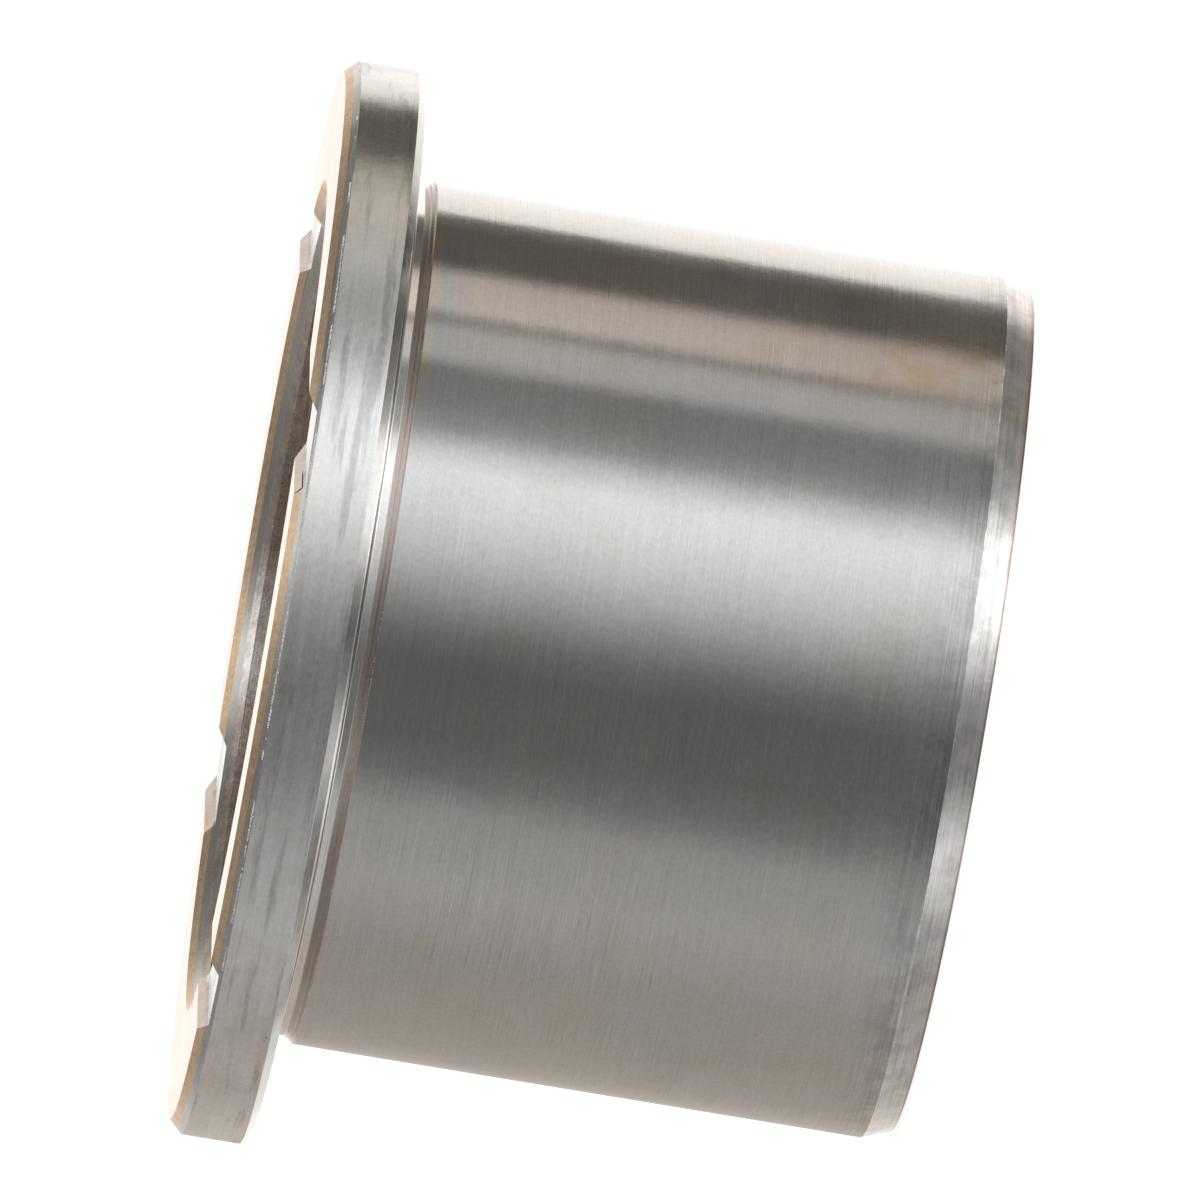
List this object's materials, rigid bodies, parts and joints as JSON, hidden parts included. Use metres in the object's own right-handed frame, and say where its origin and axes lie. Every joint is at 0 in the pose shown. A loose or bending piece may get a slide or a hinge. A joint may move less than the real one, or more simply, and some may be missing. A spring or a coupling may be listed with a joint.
{
  "type": "flanged bimetal plain bushing",
  "caption": "Steel-backed plain bushing with a bronze-lined bore and a flange whose bronze face is cut by two straight oil grooves.",
  "frame": {"origin": "on the axis, in the plane of the sleeve's free end, which the part stands on", "axes": "+Z along the bore axis, from the free end towards the thrust face; the oil grooves run parallel to Y"},
  "size_m": [0.1088, 0.1088, 0.0714],
  "materials": {
    "ground_steel": "ground and turned, bare",
    "weld_metal": "smooth, bare",
    "lining_bronze": "bored sintered bronze, brown",
    "facing_bronze": "faced sintered bronze"
  },
  "bodies": {
    "root": {"sleeve_shell": "ground_steel", "flange_ring": "ground_steel", "weld_bead": "weld_metal", "bore_lining": "lining_bronze", "thrust_pad_1": "facing_bronze", "thrust_pad_2": "facing_bronze", "thrust_pad_3": "facing_bronze", "thrust_pad_4": "facing_bronze"}
  },
  "joints": []
}
